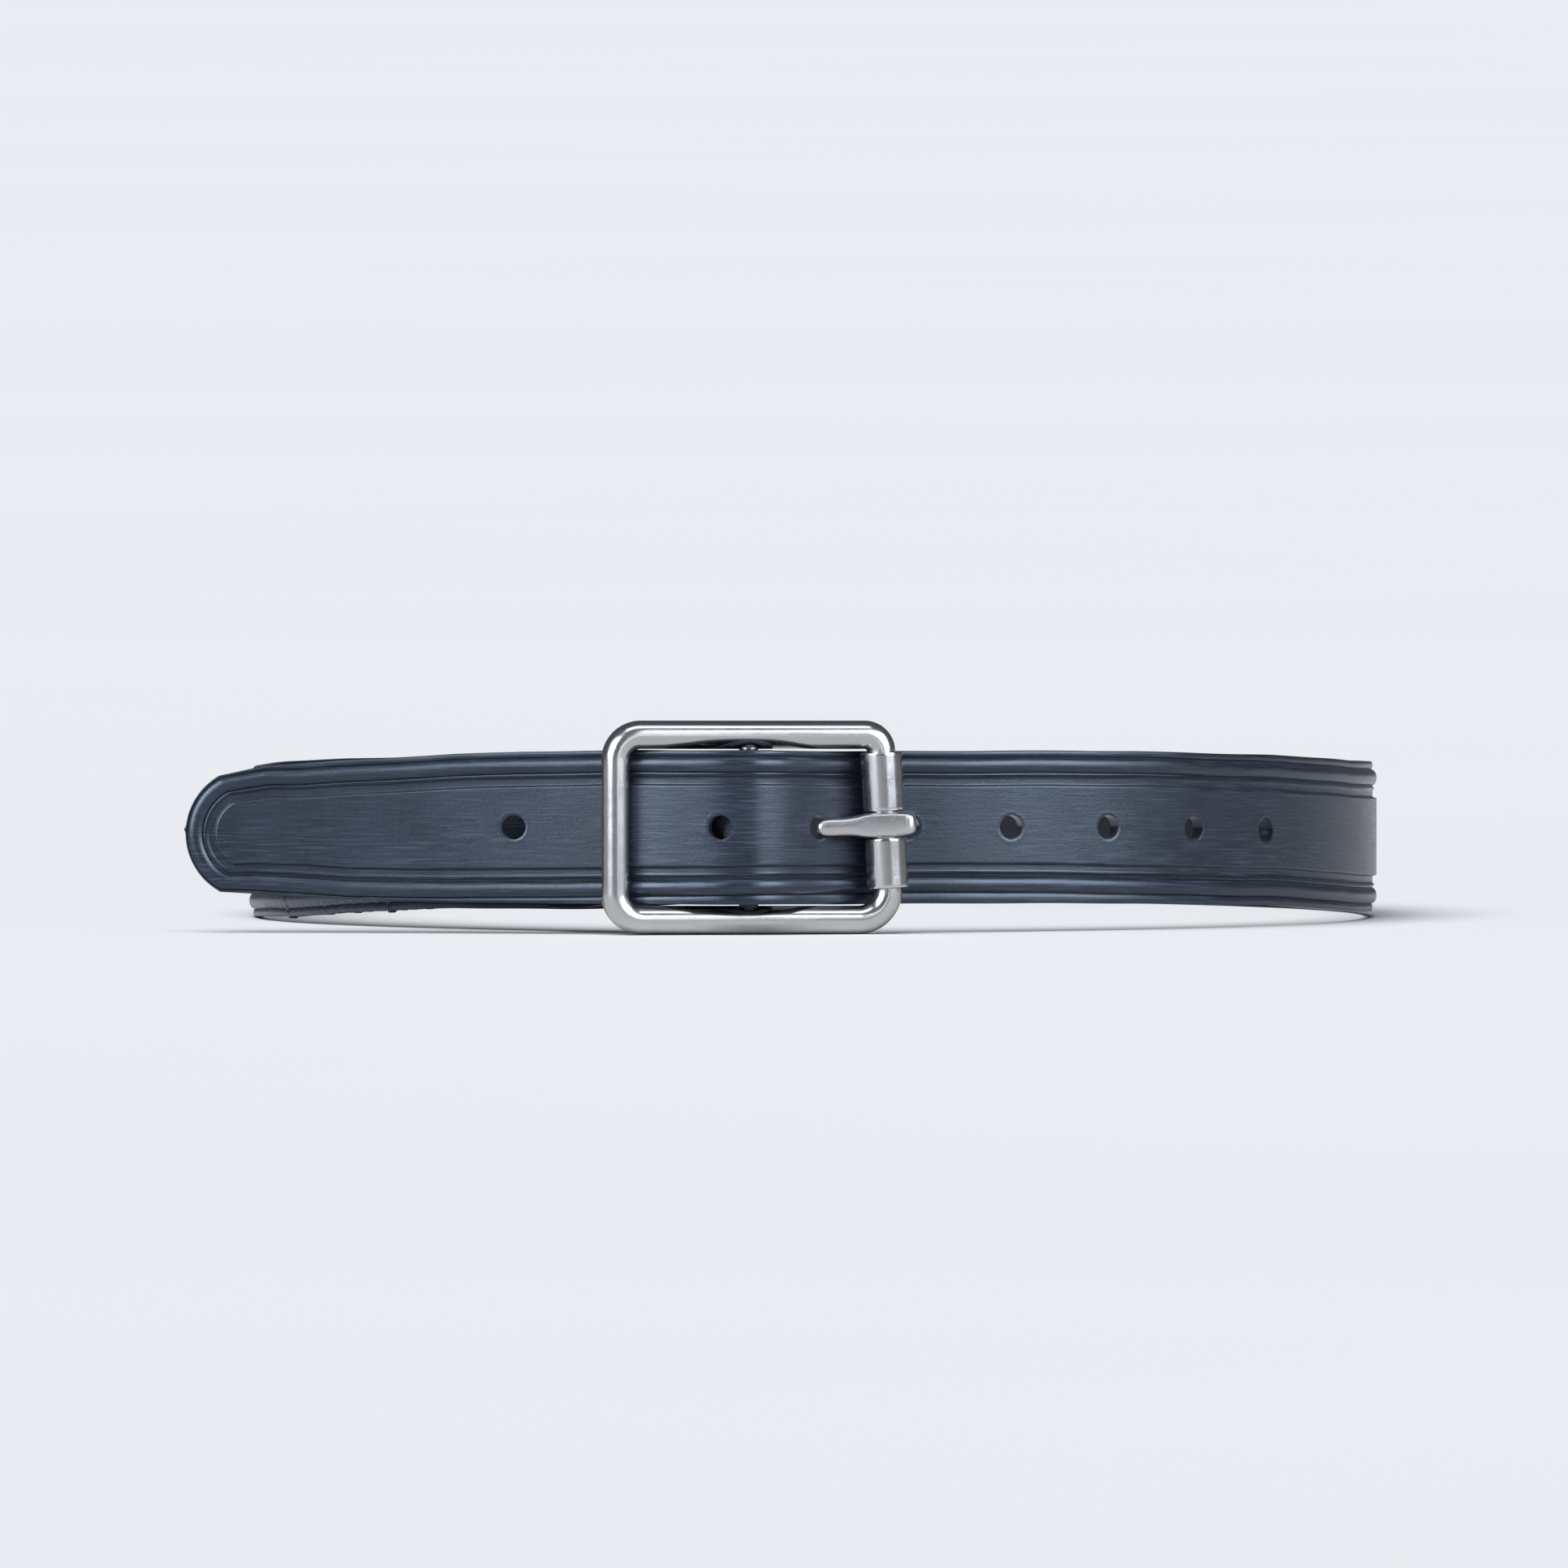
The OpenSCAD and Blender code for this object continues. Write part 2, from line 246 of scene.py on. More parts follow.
def tube(points, normals, radius, sides, closed):
    """Verts and faces of a round tube along points; normals gives one fixed side direction per point."""
    pts, n = np.asarray(points, float), len(points)
    ahead = np.roll(pts, -1, 0) - np.roll(pts, 1, 0)
    if not closed:
        ahead[0], ahead[-1] = pts[1] - pts[0], pts[-1] - pts[-2]
    ahead /= np.linalg.norm(ahead, axis=1)[:, None]
    side = np.asarray(normals, float)
    other = np.cross(ahead, side)
    other /= np.linalg.norm(other, axis=1)[:, None]
    side = np.cross(other, ahead)
    rad = np.broadcast_to(radius, (n,))
    a = np.linspace(0, 2 * math.pi, sides, endpoint=False)
    ring = np.cos(a)[None, :, None] * side[:, None, :] + np.sin(a)[None, :, None] * other[:, None, :]
    verts = (pts[:, None, :] + ring * rad[:, None, None]).reshape(-1, 3)
    faces = grid_faces(n, sides)
    if closed:
        base = (n - 1) * sides
        faces += [(base + j, base + (j + 1) % sides, (j + 1) % sides, j) for j in range(sides)]
    else:
        faces += [tuple(range(sides)), tuple(range((n - 1) * sides, n * sides))]
    return verts, faces


def lathe(profile, sides):
    """Closed (radius, height) profile turned about Z."""
    prof = np.asarray(profile, float)
    a = np.linspace(0, 2 * math.pi, sides, endpoint=False)
    verts = np.stack(
        [
            (np.cos(a)[:, None] * prof[None, :, 0]).ravel(),
            (np.sin(a)[:, None] * prof[None, :, 0]).ravel(),
            np.tile(prof[:, 1], sides),
        ],
        1,
    )
    m = len(prof)
    faces = []
    for i in range(sides):
        k = (i + 1) % sides
        for j in range(m):
            q = (j + 1) % m
            faces.append((i * m + j, k * m + j, k * m + q, i * m + q))
    return verts, faces


def cut(obj, cutter):
    """Subtracts cutter from obj and removes it."""
    mod = obj.modifiers.new("cut", "BOOLEAN")
    mod.operation, mod.object, mod.solver = "DIFFERENCE", cutter, "EXACT"
    bpy.context.view_layer.update()
    deps = bpy.context.evaluated_depsgraph_get()
    mesh = bpy.data.meshes.new_from_object(obj.evaluated_get(deps))
    obj.modifiers.remove(mod)
    obj.data = mesh
    bpy.data.objects.remove(cutter)


# ---------------------------------------------------------------------------
# Materials
# ---------------------------------------------------------------------------
class Nodes:
    """Short way to wire a material."""

    def __init__(self, name):
        self.mat = bpy.data.materials.new(name)
        self.mat.use_nodes = True
        self.tree = self.mat.node_tree
        self.shader = self.tree.nodes["Principled BSDF"]

    def add(self, kind, **values):
        node = self.tree.nodes.new(kind)
        for key, value in values.items():
            if key in node.inputs:
                node.inputs[key].default_value = value
            else:
                setattr(node, key, value)
        return node

    def link(self, a, b):
        self.tree.links.new(a, b)

    def noise(self, coords, scale, detail=4.0, rough=0.55, stretch=(1, 1, 1)):
        mapping = self.add("ShaderNodeMapping")
        mapping.inputs["Scale"].default_value = stretch
        self.link(coords, mapping.inputs["Vector"])
        node = self.add("ShaderNodeTexNoise", Scale=scale, Detail=detail, Roughness=rough)
        self.link(mapping.outputs["Vector"], node.inputs["Vector"])
        return node.outputs["Fac"]

    def ramp(self, source, low, high, a, b):
        """Map source from low..high to a..b."""
        node = self.add("ShaderNodeMapRange")
        for key, value in zip(("From Min", "From Max", "To Min", "To Max"), (low, high, a, b)):
            node.inputs[key].default_value = value
        self.link(source, node.inputs["Value"])
        return node.outputs["Result"]

    def math(self, op, a, b):
        node = self.add("ShaderNodeMath", operation=op)
        for socket, value in zip(node.inputs, (a, b)):
            if isinstance(value, (int, float)):
                socket.default_value = value
            else:
                self.link(value, socket)
        return node.outputs["Value"]

    def mix(self, fac, a, b):
        node = self.add("ShaderNodeMix", data_type="RGBA")
        self.link(fac, node.inputs["Factor"])
        for key, value in (("A", a), ("B", b)):
            socket = [s for s in node.inputs if s.name == key and s.type == "RGBA"][0]
            if isinstance(value, tuple):
                socket.default_value = (*value, 1)
            else:
                self.link(value, socket)
        return [s for s in node.outputs if s.type == "RGBA"][0]

    def bump(self, height, distance, strength=1.0, below=None):
        node = self.add("ShaderNodeBump", Distance=distance, Strength=strength)
        self.link(height, node.inputs["Height"])
        if below is not None:
            self.link(below, node.inputs["Normal"])
        return node.outputs["Normal"]


def rubber_material():
    """Satin blue-black moulded rubber: fine grain, lengthwise marks and a faint chalky bloom."""
    m = Nodes("strap_rubber")
    coord = m.add("ShaderNodeTexCoord")
    along, solid = coord.outputs["UV"], coord.outputs["Object"]
    bloom = m.noise(solid, 38, 5, 0.6)
    cloud = m.noise(along, 9, 4, 0.6, (1, 3, 1))
    streak = m.noise(along, 60, 5, 0.65, (1, 26, 1))
    grain = m.noise(solid, 2600, 3, 0.6)
    pits = m.noise(solid, 900, 2, 0.5)
    base = m.mix(m.ramp(bloom, 0.35, 0.7, 0, 1), (0.0050, 0.0068, 0.0125), (0.0085, 0.0112, 0.0190))
    dust = m.math("MULTIPLY", m.ramp(streak, 0.5, 0.78, 0, 1), m.ramp(cloud, 0.38, 0.66, 0.15, 0.8))
    m.link(m.mix(dust, base, (0.055, 0.068, 0.095)), m.shader.inputs["Base Color"])
    rough = m.math("ADD", m.ramp(bloom, 0.3, 0.7, 0.26, 0.33), m.ramp(streak, 0.3, 0.75, -0.03, 0.08))
    m.link(rough, m.shader.inputs["Roughness"])
    m.shader.inputs["Specular IOR Level"].default_value = 0.55
    m.shader.inputs["Specular Tint"].default_value = (0.72, 0.84, 1.0, 1)
    m.shader.inputs["Sheen Weight"].default_value = 0.04
    m.shader.inputs["Sheen Roughness"].default_value = 0.45
    fine = m.bump(grain, 0.00006, 0.55)
    marks = m.bump(streak, 0.00008, 0.5, fine)
    m.link(m.bump(pits, 0.00009, 0.4, marks), m.shader.inputs["Normal"])
    return m.mat


def steel_material(name, rough, tint, line_scale, line_depth, stretch):
    """Polished stainless steel: faint drawing lines, smudges and small scratches."""
    m = Nodes(name)
    coord = m.add("ShaderNodeTexCoord").outputs["Object"]
    smudge = m.noise(coord, 60, 4, 0.6)
    lines = m.noise(coord, line_scale, 3, 0.6, stretch)
    specks = m.noise(coord, 1400, 2, 0.5)
    m.link(
        m.mix(m.ramp(smudge, 0.35, 0.7, 0, 1), tint, tuple(c * 0.9 for c in tint)),
        m.shader.inputs["Base Color"],
    )
    m.shader.inputs["Metallic"].default_value = 1.0
    smudged = m.ramp(smudge, 0.3, 0.7, rough, rough + 0.07)
    total = m.math("ADD", smudged, m.ramp(specks, 0.55, 0.75, 0, 0.06))
    m.link(total, m.shader.inputs["Roughness"])
    first = m.bump(lines, line_depth, 0.6)
    m.link(m.bump(specks, 0.000005, 0.25, first), m.shader.inputs["Normal"])
    return m.mat


def inner_material():
    """Matt inner side of the strap, as it leaves the mould, with a fine even grain."""
    m = Nodes("strap_rubber_inner")
    coord = m.add("ShaderNodeTexCoord").outputs["Object"]
    cloud = m.noise(coord, 45, 4, 0.6)
    grain = m.noise(coord, 1500, 3, 0.6)
    m.link(
        m.mix(m.ramp(cloud, 0.3, 0.7, 0, 1), (0.0036, 0.0046, 0.0070), (0.0066, 0.0082, 0.0118)),
        m.shader.inputs["Base Color"],
    )
    m.link(m.ramp(grain, 0.3, 0.7, 0.62, 0.8), m.shader.inputs["Roughness"])
    m.shader.inputs["Specular IOR Level"].default_value = 0.2
    m.link(m.bump(grain, 0.00012, 0.5), m.shader.inputs["Normal"])
    return m.mat


RUBBER = rubber_material()
INNER = inner_material()
ROD_STEEL = steel_material("rod_steel", 0.17, (0.50, 0.49, 0.485), 260, 0.000006, (1, 1, 1))
ROLLER_STEEL = steel_material("roller_steel", 0.15, (0.55, 0.54, 0.535), 900, 0.000005, (0.2, 0.2, 3))
TONGUE_STEEL = steel_material("tongue_steel", 0.26, (0.50, 0.49, 0.49), 500, 0.00001, (3, 0.4, 0.4))
RIVET_STEEL = steel_material("rivet_steel", 0.25, (0.62, 0.63, 0.65), 400, 0.00004, (1, 1, 1))

# ---------------------------------------------------------------------------
# Strap
# ---------------------------------------------------------------------------
END_R = 22.0
END_LOW = 2.0
CORNER_S = 11.3

# Sample places of the moulded profile, by distance from the edge
FACE_STEPS = [0.0, 0.08, 0.2, 0.4, 0.7, 1.0, 1.3, 1.6, 1.9, 2.2, 2.5, 2.66, 2.74, 2.85, 3.05, 3.3]
FACE_STEPS += [3.7, 4.1, 4.6, 5.1, 5.6, 6.1, 6.6, 7.0, 7.4, 7.7, 7.9, 8.03, 8.1, 8.3, 8.5, 8.7]
FACE_STEPS += [8.85, 9.0, 9.15, 9.3, 9.5, 9.8, 10.4, 11.2, 11.65, 11.75, 11.88, 12.0, 12.12, 12.25]
FACE_STEPS += [12.4, 12.8]
PANEL_STEPS = [0.04, 0.09, 0.16, 0.24, 0.32, 0.4, 0.47, 0.53, 0.575, 0.61, 0.64, 0.67, 0.7, 0.73, 0.77]
PANEL_STEPS += [0.81, 0.86, 0.91, 0.955]
BACK_STEPS = [0.12, 0.35, 0.8, 3.0, 7.0, 12.0]
BACK_INNER = [0.15, 0.32, 0.5, 0.62, 0.74, 0.87]
EDGE_SOFT = 0.4


def half_width(s, side):
    """Height of the strap's edge above (side 1) or below (side -1) its middle line."""
    if side > 0:
        at = [-1, 25.9, 54, 89, 112, 150, 300, 400]
        wide = [14.4, 20.3, 22.3, 24.3, 25, 25.3, 25.2, HALF_W]
    else:
        at = [-1, 54, 89, 105, 150, 300, 400]
        wide = [20.6, 23.7, 24.6, 25, 25.4, 25.2, HALF_W]
    return float(np.interp(s, at, wide))


def panel_edge(s, side):
    """Distance from the edge to the middle panel; the moulded pattern wanders in the trimmed strap."""
    at = [0, 17, 37, 53, 89, 130, 190, 272, 338, 420, 900, TOTAL]
    if side > 0:
        inset = [9.9, 10.3, 11.3, 11.4, 11.4, 11.4, 11.3, 11.5, 11.5, 11.9, 12.3, 11.9]
    else:
        inset = [9.9, 10.6, 10.5, 10.3, 10.8, 11.6, 12.7, 13.2, 12.5, 12.1, 11.7, 12.1]
    return float(np.interp(s, at, inset))


def face_height(d):
    """Height of the moulded face: edge bead, flange, main bead, thin ridge, groove and panel."""
    if d < 2.7:
        u = (d - 1.25) / 1.45
        return 0.42 + 0.62 * math.sqrt(max(1 - u * u, 0))
    if d < 8.05:
        u = (d - 5.37) / 2.68
        return 0.42 + 1.98 * max(1 - u * u, 0) ** 0.42
    floor = 1.08
    if d < 11.7:
        return floor + 0.62 * math.exp(-(((d - 9.0) / 0.34) ** 2))
    return floor + (HALF_T - floor) * float(step(d, 11.7, 12.35))


def rim(s, z):
    """Slight raised lip round each hole."""
    k = round((s - FIRST_HOLE) / HOLE_PITCH)
    if not 0 <= k < HOLE_COUNT:
        return 0.0
    r = math.hypot(s - FIRST_HOLE - k * HOLE_PITCH, z)
    return 0.04 * math.exp(-(((r - 4.75) / 0.5) ** 2)) - 0.14 * math.exp(-(((r - 4.0) / 0.28) ** 2))


NUBS = [(-174.0, 0.75), (-161.6, 0.35), (-140.4, 0.65), (-152.0, 0.3), (-182.0, 0.4)]


def length_at_x(x):
    """Length along the fixed strap where its lower front passes x."""
    lengths = np.linspace(1096, 1299, 3000)
    return float(lengths[int(np.argmin([abs(on_route(v)[0][0] - x) for v in lengths]))])


NUB_AT = [(length_at_x(x), tall) for x, tall in NUBS]
ROUGH_FROM, ROUGH_TO = 1140.0, 1250.0


def trim(s, side):
    """How far the knife-trimmed edge strays from straight."""
    wave = 0.12 * math.sin(s / 23.0 + side) + 0.07 * math.sin(s / 7.9 + 2 * side)
    if side < 0 and ROUGH_FROM < s < ROUGH_TO:
        wave += 0.16 * math.sin(s * 1.9) * math.sin(s * 0.83 + 1) + 0.1 * math.sin(s * 4.1)
        wave += sum(tall * math.exp(-(((s - at) / 0.7) ** 2)) for at, tall in NUB_AT)
    return wave * float(step(s, 30, 60))


def strap_lengths():
    out = [CORNER_S + 0.02]
    while out[-1] < TOTAL - 2.2:
        here = out[-1]
        near = min(abs(here + 0.4 - FIRST_HOLE - k * HOLE_PITCH) for k in range(HOLE_COUNT))
        bends = [p for p in ROUTE if p[2] == "bend" and p[3][1] < 20]
        in_bend = any(p[0] - 1 < here < p[1] + 1 for p in bends)
        rough = ROUGH_FROM < here < ROUGH_TO
        out.append(here + (0.45 if near < 6.2 or rough else 0.7 if in_bend or here < 60 else 2.0))
    return out + [TOTAL - 0.5, TOTAL]


def ray(edge_s, edge_z, mid_s, mid_z, panel):
    """Samples of one half section from the edge inwards: (length, height, outward), face then back."""
    reach = math.hypot(mid_s - edge_s, mid_z - edge_z)
    us, uz = (mid_s - edge_s) / reach, (mid_z - edge_z) / reach
    shift = panel - 12.03
    face, back = [], []
    for d in FACE_STEPS:
        a = d + shift * min(d / 2.7, 1)
        s, z = edge_s + us * a, edge_z + uz * a
        face.append((s, z, face_height(d) + rim(s, z)))
    start = FACE_STEPS[-1] + shift
    for f in PANEL_STEPS:
        a = start + (reach - start) * f
        s, z = edge_s + us * a, edge_z + uz * a
        face.append((s, z, HALF_T + rim(s, z)))
    for d in BACK_STEPS:
        soft = EDGE_SOFT * (1 - d / EDGE_SOFT) ** 2 if d < EDGE_SOFT else 0
        back.append((edge_s + us * d, edge_z + uz * d, -HALF_T + soft))
    for f in BACK_INNER:
        a = 12 + (reach - 12) * f
        back.append((edge_s + us * a, edge_z + uz * a, -HALF_T))
    wall = [(edge_s, edge_z, -HALF_T + EDGE_SOFT), (edge_s, edge_z, -0.9), (edge_s, edge_z, 0.1)]
    return back[::-1] + wall + face


def strap_rays():
    """Half sections round the U of the outline: the upper edge, the round tip and the lower edge."""
    lengths = strap_lengths()
    rays = []
    for side in (1, -1):
        group = []
        for s in lengths:
            w = half_width(s, side) + trim(s, side)
            mid = max(s, END_R + (s - CORNER_S) * (50 - END_R) / (50 - CORNER_S)) if s < 50 else s
            mid_z = -END_LOW * (1 - float(step(s, CORNER_S, 60)))
            group.append((ray(s, side * w, mid, mid_z, panel_edge(s, side)), (mid, mid_z)))
        rays.append(group)
    upper, lower = rays
    arc = []
    first = math.atan2(half_width(CORNER_S, 1) + END_LOW, END_R - CORNER_S)
    last = -math.atan2(half_width(CORNER_S, -1) - END_LOW, END_R - CORNER_S)
    for a in np.linspace(first, last, 84)[1:-1]:
        nib = 0.55 * math.exp(-(((a - 0.06) / 0.035) ** 2))
        r = END_R + nib
        s, z = END_R - r * math.cos(a), r * math.sin(a) - END_LOW
        arc.append((ray(s, z, END_R, -END_LOW, panel_edge(max(s, 0), 1) + nib), None))
    return upper, arc, lower


SOFT_BEND = (ROUTE[3][0] + ROUTE[3][1]) / 2
SOFT_REACH, SOFT_SIGMA, SOFT_LIFT = 26.0, 7.0, 0.95


@lru_cache(maxsize=None)
def soft_route(s):
    """Route with its bend over the centre bar eased, as thick rubber takes it."""
    if abs(s - SOFT_BEND) > SOFT_REACH:
        return on_route(s)
    shares = [(k, math.exp(-((k / SOFT_SIGMA) ** 2) / 2)) for k in np.linspace(-18, 18, 25)]
    whole = sum(w for _, w in shares)
    p = sum(w * on_route(s + k)[0] for k, w in shares) / whole
    v = sum(w * ahead_of(on_route(s + k)[1]) for k, w in shares)
    h = math.atan2(v[1], v[0])
    lift = SOFT_LIFT * (1 - float(step(abs(s - SOFT_BEND), 0, SOFT_REACH)))
    return p - left_of(h) * lift, h


def place(s, z, outward):
    s_in = min(max(s, 0.0), TOTAL)
    p, h = soft_route(s_in)
    p = p + ahead_of(h) * (s - s_in)
    n = -left_of(h)
    lift = outward + bow(s_in)
    return [p[0] + n[0] * lift, p[1] + n[1] * lift, z + droop(s)]


def strap_mesh():
    """Swept strap whose mesh follows the moulded lines, with uv = (length, height) in metres."""
    upper, arc, lower = strap_rays()
    verts, uvs = [], []

    def vertex(s, z, t):
        verts.append(place(s, z, t))
        uvs.append((s * MM, z * MM))
        return len(verts) - 1

    def run(samples):
        return [vertex(*v) for v in samples]

    faces, inner = [], []
    up = [run(r) for r, _ in upper]
    down = [run(r) for r, _ in lower]
    mid_face = [vertex(m[0], m[1], HALF_T + rim(*m)) for _, m in upper]
    mid_back = [vertex(m[0], m[1], -HALF_T) for _, m in upper]
    back_cols = len(BACK_STEPS) + len(BACK_INNER) - 1

    def skin(a, b, face_a, face_b, back_a, back_b):
        """Faces between two neighbouring half sections."""
        for j in range(len(a) - 1):
            faces.append((a[j], a[j + 1], b[j + 1], b[j]))
            inner.append(j < back_cols)
        faces.append((a[-1], face_a, b[-1]) if face_a == face_b else (a[-1], face_a, face_b, b[-1]))
        faces.append((a[0], b[0], back_a) if back_a == back_b else (a[0], b[0], back_b, back_a))
        inner.extend((False, True))

    for lines in (up, down):
        for i in range(len(lines) - 1):
            skin(lines[i], lines[i + 1], mid_face[i], mid_face[i + 1], mid_back[i], mid_back[i + 1])
    around = [up[0]] + [run(r) for r, _ in arc] + [down[0]]
    for a, b in zip(around, around[1:]):
        skin(a, b, mid_face[0], mid_face[0], mid_back[0], mid_back[0])
    faces.append(tuple(up[-1]) + (mid_face[-1],) + tuple(reversed(down[-1])) + (mid_back[-1],))
    inner.append(False)
    return stood(verts), faces, uvs, inner


def cutter_at(points):
    """One object holding a cylinder for each (centre, axis, radius, length), in metres."""
    verts, faces = [], []
    for centre, axis, radius, length in points:
        m = Vector(axis).to_track_quat("Z", "Y").to_matrix()
        base, sides = len(verts), 64
        for end in (-0.5, 0.5):
            for k in range(sides):
                a = 2 * math.pi * (k + 0.37) / sides
                v = Vector((radius * math.cos(a), radius * math.sin(a), end * length))
                verts.append(Vector(centre) + m @ v)
        faces += [
            (base + k, base + (k + 1) % sides, base + sides + (k + 1) % sides, base + sides + k)
            for k in range(sides)
        ]
        faces.append(tuple(base + sides - 1 - k for k in range(sides)))
        faces.append(tuple(base + sides + k for k in range(sides)))
    mesh = bpy.data.meshes.new("cutter")
    mesh.from_pydata([tuple(v) for v in verts], [], faces)
    obj = bpy.data.objects.new("cutter", mesh)
    bpy.context.scene.collection.objects.link(obj)
    return obj


def direction(x, y, z=0.0):
    """A direction of the drawing frame, leant back."""
    a, b = stood([[x, y, z], [0, 0, 0]])
    v = Vector(a) - Vector(b)
    return v.normalized()


def add_uv(obj, uvs):
    layer = obj.data.uv_layers.new(name="along")
    for loop in obj.data.loops:
        layer.data[loop.index].uv = uvs[loop.vertex_index]


def build_strap():
    verts, faces, uvs, inner_faces = strap_mesh()
    obj = new_object("strap_rubber", verts, faces, RUBBER, None)
    obj.data.materials.append(INNER)
    for face, inner in zip(obj.data.polygons, inner_faces):
        face.material_index = 1 if inner else 0
    add_uv(obj, uvs)
    holes = []
    for k in range(HOLE_COUNT):
        s = FIRST_HOLE + k * HOLE_PITCH
        n = -left_of(on_route(s)[1])
        holes.append((stood([place(s, 0.0, 0.0)])[0], direction(n[0], n[1]), HOLE_R * MM, 0.014))
    for z in (-RIVET_Z, RIVET_Z):
        axis = ahead_of(RIVET_DIR)
        spot = stood([[RIVET_AT[0], RIVET_AT[1], z - RIVET_DROP]])[0]
        holes.append((spot, direction(axis[0], axis[1]), RIVET_HOLE_R * MM, 0.018))
    cut(obj, cutter_at(holes))
    finish_mesh(obj, 38)
    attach(obj, "belt")
    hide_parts("strap")
    return obj


# ---------------------------------------------------------------------------
# Buckle
# ---------------------------------------------------------------------------
def frame_point(x, z, out=0.0):
    """Point of the frame's own plane: x to the right along it, z up, out away from the wearer."""
    u = -ALONG
    n = np.array([math.sin(FRAME_YAW), -math.cos(FRAME_YAW)])
    p = RIGHT + u * x + n * out
    return [p[0], p[1], z]


def ring_line():
    """Middle line of the bent rod, each corner with its own bend radius."""
    dx = HALF_H * math.tan(BAR_LEAN)
    pts = [np.array(p) for p in ((-FRAME_L, -HALF_H), (dx, -HALF_H), (-dx, HALF_H), (-FRAME_L, HALF_H))]
    bends = []
    for i, q in enumerate(pts):
        p, e = pts[i - 1], pts[(i + 1) % 4]
        h0, h1 = math.atan2(*(q - p)[::-1]), math.atan2(*(e - q)[::-1])
        turn = (h1 - h0 + math.pi) % (2 * math.pi) - math.pi
        r = CORNER_RADII[i]
        middle = q - r * math.tan(turn / 2) * ahead_of(h0) + r * left_of(h0)
        bends.append([middle - r * left_of(h0 + a) for a in np.linspace(0, turn, 21)])
    line = []
    for i, bend in enumerate(bends):
        line += bend
        start, stop = bend[-1], bends[(i + 1) % 4][0]
        line += [start + (stop - start) * f for f in np.linspace(0, 1, 14)[1:-1]]
    return line


def build_ring():
    line = ring_line()
    pts = np.array([frame_point(p[0], p[1]) for p in line])
    side = np.tile([math.sin(FRAME_YAW), -math.cos(FRAME_YAW), 0.0], (len(pts), 1))
    verts, faces = tube(pts, side, ROD_R - 0.01, 56, True)
    return new_object("buckle_ring", stood(verts), faces, ROD_STEEL, "belt", "buckle_frame")


def build_centre_bar():
    half = HALF_H - ROD_R + 0.5
    z = np.concatenate([[-half], np.linspace(-half + 0.05, half - 0.05, 40), [half]])
    pts = np.array([[CENTRE[0], CENTRE[1], k] for k in z])
    weld = [BAR_R + 0.3 * math.exp(-(((half - abs(k)) / 0.9) ** 2)) for k in z]
    verts, faces = tube(pts, np.tile([1.0, 0, 0], (len(z), 1)), np.array(weld), 40, False)
    return new_object("centre_bar", stood(verts), faces, ROD_STEEL, "belt", "centre_bar")


def bar_frame(points):
    """Points in the right-hand bar's own frame (Z up the bar) to the row frame, in metres."""
    p = np.asarray(points, float)
    c, s = math.cos(-BAR_LEAN), math.sin(-BAR_LEAN)
    x, y, z = p[:, 0] * c + p[:, 2] * s, p[:, 1], -p[:, 0] * s + p[:, 2] * c
    cy, sy = math.cos(FRAME_YAW), math.sin(FRAME_YAW)
    return stood(np.stack([RIGHT[0] + x * cy - y * sy, RIGHT[1] + x * sy + y * cy, z], 1))


def build_sleeve(name, z0, z1, body):
    bore, r, soft = ROD_R + RUN_GAP, ROLLER_R - 0.01, 0.45
    prof = [(bore, z0 + 0.35), (bore + 0.1, z0 + 0.12), (bore + 0.35, z0)]
    quarter = np.linspace(0, 1.57, 8)
    prof += [(r - soft + soft * math.sin(a), z0 + soft - soft * math.cos(a)) for a in quarter]
    prof += [(r, z0 + 1.2 + k * (z1 - z0 - 2.4) / 6) for k in range(7)]
    prof += [(r - soft + soft * math.cos(a), z1 - soft + soft * math.sin(a)) for a in quarter]
    prof += [(bore + 0.35, z1), (bore + 0.1, z1 - 0.12), (bore, z1 - 0.35)]
    verts, faces = lathe(prof, 96)
    return new_object(name, bar_frame(verts), faces, ROLLER_STEEL, body, name)


# Tongue stations from tip to heel: (x, underside, back, half width, squareness)
TONGUE_LINE = [
    (-22.35, 6.6, 7.4, 0.5, 2.0), (-22.2, 6.0, 8.0, 1.2, 2.0), (-21.7, 5.5, 8.4, 1.9, 2.0),
    (-20.9, 5.3, 8.6, 2.4, 2.1), (-19.8, 5.25, 8.68, 2.7, 2.1), (-18.4, 5.25, 8.7, 2.8, 2.2),
    (-17.2, 5.2, 8.75, 2.85, 2.3), (-15.0, 4.2, 8.85, 2.95, 2.4), (-12.6, 3.05, 8.95, 3.1, 2.6),
    (-10.8, 2.2, 9.0, 3.3, 2.8), (-9.0, 1.3, 9.0, 3.55, 3.2), (-7.6, 0.4, 8.95, 3.8, 4.0),
    (-6.6, -1.6, 8.9, 3.93, 5.0), (-5.6, -4.1, 8.85, 3.97, 6.0), (-4.0, -5.7, 8.82, 3.98, 7.0),
    (-2.0, -6.7, 8.78, 3.98, 7.0), (0.0, -6.97, 8.75, 3.98, 7.0), (2.0, -6.65, 8.72, 3.98, 7.0),
    (3.8, -5.3, 8.7, 3.98, 6.0), (5.2, -3.8, 8.68, 3.96, 5.0), (7.0, -2.6, 8.65, 3.9, 4.5),
    (8.4, -1.3, 8.5, 3.7, 4.0), (9.3, -0.7, 8.0, 3.4, 3.6), (9.9, 0.1, 7.4, 3.0, 3.2),
    (10.25, 1.2, 6.6, 2.4, 2.8), (10.38, 2.4, 5.6, 1.5, 2.4),
]


